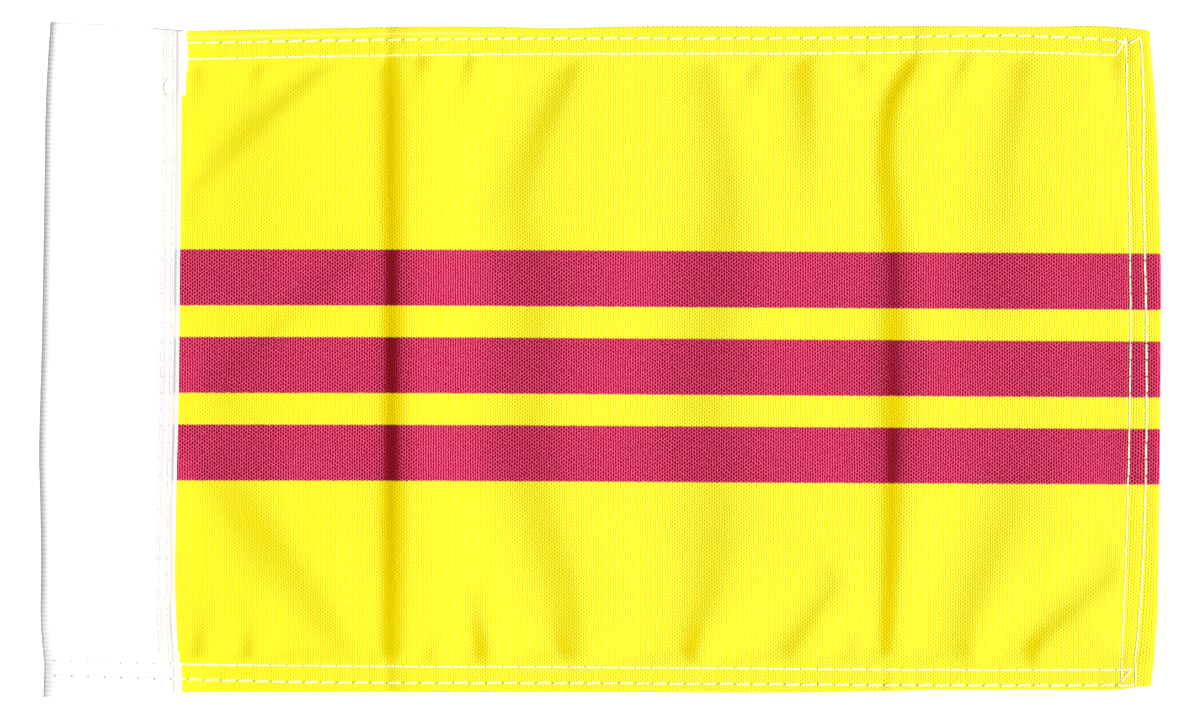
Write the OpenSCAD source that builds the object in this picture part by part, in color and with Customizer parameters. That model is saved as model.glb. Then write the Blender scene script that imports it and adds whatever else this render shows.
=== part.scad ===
// Small printed flag with a sewn pole sleeve, lying flat on its back.
// +X runs to the fly edge, +Y to the open mouth of the sleeve, +Z up.
// The lowest faces rest on z = 0 and the plan is centred on x = y = 0.

/* [Flag] */
// length from the sleeve's folded edge to the fly edge, in mm
overall_length = 256.8; // [200:0.1:320]
// height of the hemmed cloth, in mm
panel_height = 152.4; // [120:0.1:200]
// thickness of one layer of the knitted cloth, in mm
cloth_thickness = 0.3; // [0.25:0.05:0.4]
// width of the turned hem, in mm
hem_width = 7.6; // [7:0.1:10]
// radius of the two corners at the fly edge, in mm
corner_radius = 1.4; // [0.5:0.1:3]

/* [Sleeve] */
// width from the folded edge to the stitched edge, in mm
sleeve_width = 31; // [26:0.1:40]
// how far the sleeve is longer than the cloth is high, in mm
sleeve_extra = 2.5; // [1:0.1:4]
// height of the sleeve at its open mouth, in mm
mouth_height = 8.6; // [8:0.1:10]
// height of the sleeve halfway along, in mm
middle_height = 8; // [7:0.1:9]
// thickness of the sleeve's wall, in mm
wall_thickness = 0.6; // [0.5:0.05:0.7]
// how far the mouth's folded edge draws in as it opens, in mm
mouth_draw = 2.2; // [0:0.1:3]
// how far the cloth reaches into the sleeve, in mm
hoist_tuck = 6.4; // [5:0.1:8]
// width of the under layer that shows beside the sleeve's edge, in mm
under_edge = 1.1; // [0.5:0.1:1.5]
// width of the same layer where the sleeve's ends are turned in, in mm
end_under_edge = 2.5; // [1.5:0.1:3]
// length of the turned-in layer at the mouth, in mm
mouth_turn = 15; // [10:0.5:20]
// length of the turned-in layer at the closed end, in mm
closed_turn = 9.5; // [9:0.5:14]

/* [Stitching] */
// length of one stitch, in mm
stitch_length = 3.8; // [3:0.1:5]
// distance between the two rows of a twin seam, in mm
row_gap = 3.5; // [3:0.1:4]
// distance from the top and bottom hem edges to the outer row, in mm
hem_row = 2.6; // [2:0.1:3]
// distance from the fly edge to the outer row, in mm
fly_row = 3.3; // [2.5:0.1:3.5]
// distance from the sleeve's stitched edge to its nearer row, in mm
sleeve_row = 1; // [0.8:0.1:2]
// distance between the two rows of the sleeve seam, in mm
sleeve_row_gap = 2.1; // [1.5:0.1:2.5]
// width of the sewing thread, in mm
thread_width = 0.4; // [0.3:0.05:0.5]
// height of a stitch above the cloth, in mm
thread_height = 0.2; // [0.15:0.05:0.25]

/* [Hidden] */
// the cloth's faces: the hem is three layers, and the field is the top one
hem_thickness = 3 * cloth_thickness;
cloth_top = hem_thickness;
cloth_low = cloth_top - cloth_thickness;
// the stack of layers at the sleeve's seam
ply = wall_thickness / 2;
seam_top = cloth_top + wall_thickness;
// plan positions
fold_x = -overall_length / 2;
fly_x = overall_length / 2;
edge_x = fold_x + sleeve_width;
hoist_x = edge_x - hoist_tuck;
top_y = panel_height / 2;
mouth_y = top_y + sleeve_extra / 2;
closed_y = -mouth_y;
pocket_y = closed_y + closed_turn;
// rows of stitches
row_y = top_y - hem_row;
inner_row_y = row_y - row_gap;
row_x = fly_x - fly_row;
inner_row_x = row_x - row_gap;
edge_row_x = edge_x - sleeve_row;
hoist_row_x = edge_row_x - sleeve_row_gap;
seam_start_y = thread_width / 2 - inner_row_y;
// where a stitch dips into the cloth
dip_height = thread_height * 0.4;
dip_run = stitch_length * 0.12;
// the stretch over which the sleeve closes, and its loft's steps
closing_run = 24;
station_step = 4.4;
arc_steps = 22;
// a cut runs this far past a face
past = 1;

// 0 below a, 1 above b, and a smooth rise between them
function ease(v, a, b) = let (t = max(0, min(1, (v - a) / (b - a)))) t * t * (3 - 2 * t);

// height of the sleeve, and the x of its folded edge, at y
function sleeve_height(y) =
    seam_top
    + (middle_height - seam_top) * ease(y, pocket_y, pocket_y + closing_run)
    + (mouth_height - middle_height) * ease(y, 0, mouth_y);
function sleeve_fold(y) = fold_x + mouth_draw * ease(y, mouth_y - 50, mouth_y + 5);

// direction of the line from a circle's top that meets the point at dx, dz from its centre
function tangent_angle(r, dx, dz) = atan2(dz, dx) + acos(r / norm([dx, dz]));

// points of the sleeve's curved wall at y, from its sloping top round the fold to the flat below
function wall_arc(y, inset) =
    let (
        outer = sleeve_height(y) / 2,
        r = outer - inset,
        cx = sleeve_fold(y) + outer,
        start = tangent_angle(r, hoist_x - cx, seam_top - inset - outer)
    )
    [for (i = [0:arc_steps])
        let (a = start + (270 - start) * i / arc_steps)
        [cx + r * cos(a), outer + r * sin(a)]];

function reversed(list) = [for (i = [len(list) - 1:-1:0]) list[i]];

// the wall's section at y: out along the sloping top, round the fold and back along the inside
function wall_section(y) = concat(
    [[hoist_x, seam_top - wall_thickness], [hoist_x, seam_top]],
    wall_arc(y, 0),
    [[hoist_x, 0], [hoist_x, wall_thickness]],
    reversed(wall_arc(y, wall_thickness)));

// the open part of the sleeve, its sections joined along y
module sleeve_wall() {
    steps = round((mouth_y - pocket_y) / station_step);
    rings = [for (i = [0:steps])
        let (y = pocket_y + (mouth_y - pocket_y) * i / steps)
        [for (p = wall_section(y)) [p[0], y, p[1]]]];
    count = len(rings[0]);
    // each outer corner of an end face joins the inner one beside it
    end_quads = [for (k = [0:count / 2 - 2])
        [k + 1, k + 2, (count - k - 1) % count, (count - k) % count]];
    sides = [for (i = [0:steps - 1], j = [0:count - 1])
        [i * count + j, i * count + (j + 1) % count,
            (i + 1) * count + (j + 1) % count, (i + 1) * count + j]];
    near = [for (q = end_quads) reversed(q)];
    far = [for (q = end_quads) [for (j = q) steps * count + j]];
    triangles = [for (q = concat(sides, near, far), h = [0, 1])
        h == 0 ? [q[0], q[1], q[2]] : [q[0], q[2], q[3]]];
    polyhedron(points = [for (ring = rings, p = ring) p], faces = triangles);
}

// a box from its low corner to its high corner
module block(low, high) {
    translate(low) cube(high - low);
}

// a row of stitches from the origin along +X: flat below, dipping at each hole
module stitches(length) {
    count = max(1, round(length / stitch_length));
    pitch = length / count;
    crown = [for (i = [0:count - 1]) each [
        [i * pitch + dip_run, thread_height],
        [(i + 1) * pitch - dip_run, thread_height],
        [(i + 1) * pitch, dip_height]]];
    translate([0, thread_width / 2, 0])
        rotate([90, 0, 0])
            linear_extrude(thread_width)
                polygon(concat([[length, 0], [0, 0], [0, dip_height]], crown));
}

// the same row between two points in plan, standing on z
module row(from, to, z) {
    run = to - from;
    translate([from[0], from[1], z])
        rotate([0, 0, atan2(run[1], run[0])])
            stitches(norm(run));
}

// the square of thread that joins two rows at a corner
module corner(at, z) {
    half = thread_width / 2;
    block([at[0] - half, at[1] - half, z], [at[0] + half, at[1] + half, z + thread_height]);
}

// one needle thread of the hem: along the sleeve's closed end, then round the cloth
module hem_needle_row(x, y) {
    start = fold_x + sleeve_height(closed_y) / 2;
    step_x = edge_x + end_under_edge + thread_width / 2;
    row([start, -y], [step_x, -y], seam_top);
    block([step_x, -y - thread_width / 2, cloth_top],
        [step_x + thread_width, -y + thread_width / 2, seam_top + thread_height]);
    row([step_x, -y], [x, -y], cloth_top);
    corner([x, -y], cloth_top);
    row([x, -y], [x, y], cloth_top);
    corner([x, y], cloth_top);
    row([step_x, y], [x, y], cloth_top);
}

// one bobbin thread of the hem, level with the underside
module hem_bobbin_row(x, y) {
    start = fold_x + sleeve_height(closed_y) / 2;
    translate([0, 0, thread_height])
        mirror([0, 0, 1]) {
            row([start, -y], [x, -y], 0);
            corner([x, -y], 0);
            row([x, -y], [x, y], 0);
            corner([x, y], 0);
            row([edge_x, y], [x, y], 0);
        }
}

// the channel that a bobbin thread of the hem lies in
module hem_bobbin_channel(x, y) {
    half = thread_width / 2;
    start = fold_x + sleeve_height(closed_y) / 2;
    block([start, -y - half, -past], [x + half, -y + half, thread_height]);
    block([x - half, -y - half, -past], [x + half, y + half, thread_height]);
    block([edge_x, y - half, -past], [x + half, y + half, thread_height]);
}

// the channel that a bobbin thread of the sleeve seam lies in
module sleeve_bobbin_channel(x) {
    half = thread_width / 2;
    block([x - half, seam_start_y, -past], [x + half, mouth_y, thread_height]);
}

// plan of the cloth beside the sleeve, rounded at the fly corners
module panel_outline() {
    r = corner_radius;
    translate([edge_x, -top_y]) square([fly_x - r - edge_x, 2 * top_y]);
    translate([edge_x, r - top_y]) square([fly_x - edge_x, 2 * (top_y - r)]);
    for (side = [-1, 1]) translate([fly_x - r, side * (top_y - r)]) circle(r, $fn = 48);
}

// the cloth that reaches into the sleeve's seam
module hoist_tab() {
    block([hoist_x, -top_y, cloth_low], [edge_x, top_y, cloth_top]);
}

module flag_panel() {
    color("gold")
        difference() {
            union() {
                linear_extrude(hem_thickness) panel_outline();
                hoist_tab();
            }
            block([edge_x - past, hem_width - top_y, -past],
                [fly_x - hem_width, top_y - hem_width, cloth_low]);
            hem_bobbin_channel(row_x, row_y);
            hem_bobbin_channel(inner_row_x, inner_row_y);
        }
}

// the stitched end, where the sleeve lies flat
module sleeve_end() {
    translate([0, pocket_y, 0])
        rotate([90, 0, 0])
            linear_extrude(closed_turn)
                polygon(concat([[hoist_x, 0], [hoist_x, seam_top]], wall_arc(pocket_y, 0)));
}

// the layer beside the sleeve's edge, between two heights in y and out to x
module under_layer(low_y, high_y, x) {
    block([edge_x, low_y, cloth_top], [x, high_y, cloth_top + ply]);
}

module pole_sleeve() {
    color("white")
        union() {
            sleeve_wall();
            difference() {
                union() {
                    sleeve_end();
                    block([hoist_x, closed_y, 0], [edge_x, mouth_y, seam_top]);
                }
                hoist_tab();
                hem_bobbin_channel(row_x, row_y);
                hem_bobbin_channel(inner_row_x, inner_row_y);
                sleeve_bobbin_channel(edge_row_x);
                sleeve_bobbin_channel(hoist_row_x);
            }
            under_layer(-top_y, top_y, edge_x + under_edge);
            under_layer(-top_y, pocket_y, edge_x + end_under_edge);
            under_layer(mouth_y - mouth_turn, top_y, edge_x + end_under_edge);
        }
}

module hem_outer_needle_thread() {
    color("ivory") hem_needle_row(row_x, row_y);
}

module hem_inner_needle_thread() {
    color("ivory") hem_needle_row(inner_row_x, inner_row_y);
}

module hem_outer_bobbin_thread() {
    color("ivory") hem_bobbin_row(row_x, row_y);
}

module hem_inner_bobbin_thread() {
    color("ivory") hem_bobbin_row(inner_row_x, inner_row_y);
}

module sleeve_edge_needle_thread() {
    color("whitesmoke") row([edge_row_x, seam_start_y], [edge_row_x, mouth_y], seam_top);
}

module sleeve_hoist_needle_thread() {
    color("whitesmoke") row([hoist_row_x, seam_start_y], [hoist_row_x, mouth_y], seam_top);
}

module sleeve_edge_bobbin_thread() {
    color("whitesmoke")
        translate([0, 0, thread_height])
            mirror([0, 0, 1]) row([edge_row_x, seam_start_y], [edge_row_x, mouth_y], 0);
}

module sleeve_hoist_bobbin_thread() {
    color("whitesmoke")
        translate([0, 0, thread_height])
            mirror([0, 0, 1]) row([hoist_row_x, seam_start_y], [hoist_row_x, mouth_y], 0);
}

flag_panel();
pole_sleeve();
hem_outer_needle_thread();
hem_inner_needle_thread();
hem_outer_bobbin_thread();
hem_inner_bobbin_thread();
sleeve_edge_needle_thread();
sleeve_hoist_needle_thread();
sleeve_edge_bobbin_thread();
sleeve_hoist_bobbin_thread();
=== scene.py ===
import math
import random

import bmesh
import bpy
import numpy as np
from mathutils import Matrix, Vector
from mathutils.bvhtree import BVHTree


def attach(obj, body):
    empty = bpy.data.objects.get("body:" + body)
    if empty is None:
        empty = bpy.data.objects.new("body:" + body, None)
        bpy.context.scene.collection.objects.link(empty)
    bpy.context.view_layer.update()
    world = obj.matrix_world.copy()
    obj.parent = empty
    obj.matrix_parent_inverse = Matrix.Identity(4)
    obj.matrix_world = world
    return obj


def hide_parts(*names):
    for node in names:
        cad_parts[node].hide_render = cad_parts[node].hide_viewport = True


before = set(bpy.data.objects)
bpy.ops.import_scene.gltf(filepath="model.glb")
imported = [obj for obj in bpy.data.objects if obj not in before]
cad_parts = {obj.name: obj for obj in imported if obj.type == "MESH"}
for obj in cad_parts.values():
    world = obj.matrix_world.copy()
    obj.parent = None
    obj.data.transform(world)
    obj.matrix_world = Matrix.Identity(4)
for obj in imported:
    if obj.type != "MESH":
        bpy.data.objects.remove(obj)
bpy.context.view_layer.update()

mm = 0.001  # lengths below are in millimetres unless a name says otherwise
root = "root"
chance = random.Random(11)


def smoothLine(points):
    # a curve that runs smoothly through (position, value) pairs
    at = np.array([p[0] for p in points], float)
    value = np.array([p[1] for p in points], float)
    slope = np.gradient(value, at)

    def follow(where):
        where = np.clip(where, at[0], at[-1])
        k = np.clip(np.searchsorted(at, where) - 1, 0, len(at) - 2)
        step = at[k + 1] - at[k]
        t = (where - at[k]) / step
        low = value[k] * (1 + 2 * t) * (1 - t) ** 2 + slope[k] * step * t * (1 - t) ** 2
        high = value[k + 1] * t * t * (3 - 2 * t) - slope[k + 1] * step * t * t * (1 - t)
        return low + high

    return follow


def ease(value, start, stop):
    t = np.clip((value - start) / (stop - start), 0.0, 1.0)
    return t * t * (3 - 2 * t)


def clothPiece(name, places, flat, cut=None):
    # a grid with one vertex for each place, and its flat size kept as the UV map
    across, along = places.shape[:2]
    bm = bmesh.new()
    bmesh.ops.create_grid(bm, x_segments=across - 1, y_segments=along - 1, size=1.0)
    uvLayer = bm.loops.layers.uv.new("cloth")
    spot = {}
    for v in bm.verts:
        i = round((v.co.x + 1) / 2 * (across - 1))
        j = round((v.co.y + 1) / 2 * (along - 1))
        spot[v] = (i, j)
    for face in bm.faces:
        face.smooth = True
        for loop in face.loops:
            i, j = spot[loop.vert]
            loop[uvLayer].uv = (flat[i, j, 0] * mm, flat[i, j, 1] * mm)
    for v in bm.verts:
        v.co = Vector(places[spot[v]]) * mm
    if cut is not None:
        gone = [f for f in bm.faces if all(cut[spot[v]] for v in f.verts)]
        bmesh.ops.delete(bm, geom=gone, context="FACES")
    mesh = bpy.data.meshes.new(name)
    bm.to_mesh(mesh)
    bm.free()
    piece = bpy.data.objects.new(name, mesh)
    bpy.context.collection.objects.link(piece)
    return piece


def giveThickness(piece, thickness):
    wall = piece.modifiers.new("cloth thickness", "SOLIDIFY")
    wall.thickness = thickness * mm
    wall.offset = 0.0
    return wall


outline = {
    "halfHeight": 76.2,
    "flyX": 128.4,
    "hoistX": -103.8,
    "outerRow": 2.6,
    "innerRow": 6.1,
    "flyOuterRow": 3.3,
    "flyInnerRow": 6.8,
    "hemReach": 14,
    "flyReach": 16,
    "clothThickness": 0.26,
    "hemWidth": 7.6,
    "hemRoll": 0.3,
    "innerRoll": 0.15,
    "cornerRadius": 0.6,
    "pitch": 3.8,
    "lift": 0.14,
    "cornerBulk": 0.4,
    "sleeveBulk": 0.6,
    "rowPull": 0.08,
    "rowBeat": 0.02,
    "swell": 0.015,
    "fieldHeight": 0.75,
}
topEdge = smoothLine([
    (-98, 75.25), (-76, 75.7), (-62, 75.95), (-50, 76.2), (-21, 76.2), (-8, 75.95), (0, 76.2),
    (50, 76.35), (76, 76.45), (105, 76.35), (114, 76.5), (118, 76.3), (128, 75.45),
])
bottomEdge = smoothLine([
    (-98, -76.0), (0, -76.03), (55, -76.0), (62, -75.85), (75, -75.6), (103, -75.6), (118, -75.6),
    (121, -75.5), (124, -75.15), (128, -74.3),
])
flyEdge = smoothLine([
    (-76, 125.8), (-66, 126.9), (-58, 127.5), (-46, 127.7), (-30, 127.95), (0, 128.2), (25, 128.2),
    (36, 127.9), (48, 127.55), (63, 126.7), (72, 125.95), (76, 125.7),
])
# the rows of stitches: (x, y) along the hems, (y, x) along the fly and the sleeve
topOuterRow = smoothLine([
    (-98, 72.6), (-69, 73.1), (-32, 73.6), (68, 74.0), (91, 74.4), (108, 73.9), (119, 73.2),
])
topInnerRow = smoothLine([
    (-98, 68.9), (-69, 69.5), (-32, 70.0), (68, 70.5), (87, 70.8), (108, 70.2), (119, 69.7),
])
bottomOuterRow = smoothLine([
    (-128, -72.2), (-96, -73.1), (-70, -73.7), (0, -74.0), (105, -74.5), (124, -74.4),
])
bottomInnerRow = smoothLine([
    (-128, -68.9), (-96, -69.7), (-70, -70.0), (0, -70.4), (105, -71.0), (124, -70.9),
])
flyOuterRow = smoothLine([
    (-75, 122.2), (-70, 122.2), (-64, 122.9), (-55, 123.6), (0, 125.0), (45, 124.2), (63, 124.2),
    (75, 123.6),
])
flyInnerRow = smoothLine([
    (-75, 119.2), (-70, 119.3), (-55, 119.9), (0, 121.3), (45, 120.9), (63, 120.5), (75, 120.5),
])
sleeveEdge = smoothLine([
    (-77, -97.5), (-64, -98.1), (-50, -98.6), (-38, -98.4), (-20, -98.0), (-4, -97.65), (14, -97.5),
    (40, -97.2), (77, -96.9),
])

folds = {
    # soft hollows, steepest half a width to the left of their rims: (y, x of the rim, slope, width)
    "hollows": [
        [(36.7, -92.8, 0.09, 6), (52, -77, 0.11, 6), (67, -61, 0.16, 4)],
        [(-3.7, -82.7, 0.07, 5), (22, -55.2, 0.08, 5)],
        [(-67, -56, 0.15, 5), (-57, -60, 0.14, 8), (-43.5, -67.5, 0.12, 12), (-27.5, -80, 0.07, 14)],
        [(-66.5, -2.9, 0.17, 4.5), (-57, -3.6, 0.15, 6), (-27.5, -8.7, 0.12, 12), (0, -8.2, 0.12, 14),
         (22, -9.4, 0.12, 12), (36.7, -14, 0.12, 9), (48, -11.7, 0.14, 6), (67, -3.6, 0.17, 4.5)],
        [(-66.5, 22.7, 0.15, 5), (-52.7, 29.1, 0.14, 7), (-35, 34.2, 0.11, 15), (-5.5, 33, 0.1, 18),
         (18, 35.6, 0.1, 16), (34.8, 34.6, 0.12, 10), (67, 27.3, 0.14, 5)],
        [(40, 50, 0.05, 4), (52, 49.8, 0.15, 4), (67.8, 49, 0.24, 3.6)],
        [(13.7, 101.8, 0.05, 20), (45.8, 96.5, 0.1, 6), (67.8, 99.4, 0.14, 4)],
        [(-66, -25.4, 0.14, 3), (-57, -27, 0.08, 3)],
        [(-67.8, 44.7, 0.2, 4), (-52.7, 55.3, 0.14, 4)],
        [(-66.5, 84.6, 0.17, 6), (-45.8, 94.2, 0.14, 10), (-31, 101, 0.08, 14)],
        [(-66.5, 100.7, 0.17, 5), (-49.3, 120, 0.13, 5)],
    ],
    # short puckers inside the hems' inner row: (x, 1 for top and -1 for bottom, length, lean)
    "puckers": [
        (-92.5, 1, 9, 0.0), (-78, 1, 6, 0.2), (-40.5, 1, 6, 0.1), (-29.8, 1, 8, 0.2), (36.5, 1, 7, 0.3),
        (60, 1, 5, 0.0), (84.5, 1, 9, 0.4), (119, 1, 8, -0.2),
        (-92.8, -1, 9, 0.1), (-81.2, -1, 9, 0.1), (-67.3, -1, 6, 0.1), (-39.2, -1, 6, 0.1),
        (-27, -1, 11, -0.1), (-8, -1, 7, -0.2), (20, -1, 7, 0.2), (56, -1, 6, 0.3), (83, -1, 6, 0.2),
        (98, -1, 6, 0.3),
    ],
    # creases left by packing: (y, x of the steepest line, slope, reach to its left, reach to its right)
    "creases": [
        [(-77, -48.4, 0.34, 2.3, 3.3), (0, -48.1, 0.36, 2.3, 3.4), (77, -48.4, 0.33, 2.3, 3.3)],
        [(-77, 64.2, 0.2, 2.2, 2.6), (-67.8, 65.0, 0.3, 2.2, 2.6), (-27.5, 66.6, 0.28, 2.6, 3.4),
         (0, 67.0, 0.24, 4, 4.4), (27.5, 66.8, 0.27, 3.2, 3.6), (48, 65.2, 0.31, 2.4, 2.6),
         (60, 66.8, 0.32, 2.4, 2.4), (68, 71.0, 0.3, 2.4, 2.2), (77, 72, 0.15, 2.4, 2.2)],
    ],
    "pucker": (0.28, 2.1),  # slope, width
    "strength": 0.95,
    "leftShare": 1.3,
    "rightShare": 0.5,
    "leastRight": 2.0,
    "spread": 17,
    "bulge": 0.55,
    "hemShare": 0.4,
}


def foldStep(beside, slope, left, right):
    # a steep place with soft ends, and a slow way back on each side
    reach = np.where(beside < 0, left, right)
    return slope * reach * 0.886 * np.tanh(1.2 * beside / reach) * np.exp(-((beside / folds["spread"]) ** 2))


def foldHeight(x, y):
    total = 0.05 * np.sin(x * 0.21 + y * 0.06) + 0.04 * np.sin(y * 0.17 - x * 0.05)
    for fold in folds["hollows"]:
        low, high = fold[0][0], fold[-1][0]
        rim, slope, width = (smoothLine([(p[0], p[k]) for p in fold])(y) for k in (1, 2, 3))
        ends = ease(y, low - 10, low - 1) * (1 - ease(y, high + 1, high + 10))
        slope = slope * folds["strength"] * ends
        right = np.maximum(width * folds["rightShare"], folds["leastRight"])
        total = total + foldStep(x - rim + width * 0.5, slope, width * folds["leftShare"], right)
    slope, width = folds["pucker"]
    for across, side, length, lean in folds["puckers"]:
        row = topInnerRow(across) if side > 0 else bottomInnerRow(across)
        inward = side * (row - y)
        beside = x - across + side * lean * inward
        fade = np.exp(-((inward / length) ** 2)) * ease(inward, -2.5, 1.5) * np.exp(-((beside / 6) ** 2))
        total = total + foldStep(beside, slope * fade, width, width * 0.7)
    for crease in folds["creases"]:
        line, slope, left, right = (smoothLine([(p[0], p[k]) for p in crease])(y) for k in (1, 2, 3, 4))
        total = total + foldStep(x - line, slope, left, right)
    return total


def clothTop(x, y, stitched=True):
    # height of the middle of the top layer
    fromTop, fromBottom = topEdge(x) - y, y - bottomEdge(x)
    fromFly, fromSleeve = flyEdge(y) - x, x - sleeveEdge(y)
    nearEnds = np.maximum(1 - ease(fromTop, 7.2, 9.2), 1 - ease(fromBottom, 7.2, 9.2))
    nearFly = 1 - ease(fromFly, 7.4, 9.6)
    hem = np.maximum(1 - ease(np.minimum(fromTop, fromBottom), 6.0, 8.6), 1 - ease(fromFly, 6.5, 10.0))
    atSleeve = 1 - ease(fromSleeve, -1.0, 7.0)
    still = (1 - (1 - folds["hemShare"]) * hem) * (1 - atSleeve)
    height = outline["lift"] + outline["fieldHeight"] + foldHeight(x, y) * still
    inField = np.minimum(np.minimum(fromTop, fromBottom), np.minimum(fromFly, fromSleeve))
    height = height + folds["bulge"] * ease(inField, 6.0, 26.0)
    height = np.maximum(height, 0.3 + 0.58 * np.maximum(nearEnds, nearFly))
    corner = 1 - ease(fromFly, 3.0, 13.0)
    bySleeve = outline["sleeveBulk"] * (1 - ease(fromSleeve, -0.5, 9.0))
    height = height + nearEnds * np.maximum(outline["cornerBulk"] * corner, bySleeve)
    if stitched:
        beat = 2 * math.pi / outline["pitch"]
        pull, depth, swell = outline["rowPull"], outline["rowBeat"], outline["swell"]
        for row, wave in (
            (y - topOuterRow(x), x), (y - topInnerRow(x), x),
            (y - bottomOuterRow(x), x), (y - bottomInnerRow(x), x),
        ):
            inside = ease(fromFly, 4.0, 6.0)
            pulled = np.exp(-((row / 0.6) ** 2)) * inside
            height = height - pulled * (pull + depth * np.cos(beat * wave))
            height = height - swell * np.exp(-((row / 2.2) ** 2)) * np.cos(beat * wave) * inside
        for row in (x - flyOuterRow(y), x - flyInnerRow(y)):
            inside = ease(np.minimum(fromTop, fromBottom), 1.5, 3.5)
            height = height - np.exp(-((row / 0.6) ** 2)) * (pull + depth * np.cos(beat * y)) * inside
            height = height - swell * np.exp(-((row / 2.2) ** 2)) * np.cos(beat * y) * inside
    return height


def hemLines():
    # along the cloth past the finished edge:
    # flat length, distance in from the edge, drop, layer, share of the roll
    roll, inner, width = outline["hemRoll"], outline["innerRoll"], outline["hemWidth"]
    lines = []
    for step in range(1, 5):
        turn = math.pi * step / 4
        lines.append((roll * turn, roll - roll * math.sin(turn), roll - roll * math.cos(turn), 1, step / 4))
    start = math.pi * roll
    for inward in (1.0, 2.1, 2.6, 3.1, 4.4, 5.6, 6.1, 6.6, width - inner):
        lines.append((start + inward - roll, inward, 2 * roll, 1, 1.0))
    start += width - inner - roll
    for step in range(1, 5):
        turn = math.pi * step / 4
        inward, drop = width - inner + inner * math.sin(turn), 2 * roll - inner + inner * math.cos(turn)
        lines.append((start + inner * turn, inward, drop, 2, 1.0))
    start += math.pi * inner
    for inward in (6.1, 4.4, 2.6, 0.9):
        lines.append((start + width - inner - inward, inward, 2 * roll - 2 * inner, 2, 1.0))
    return lines


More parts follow.
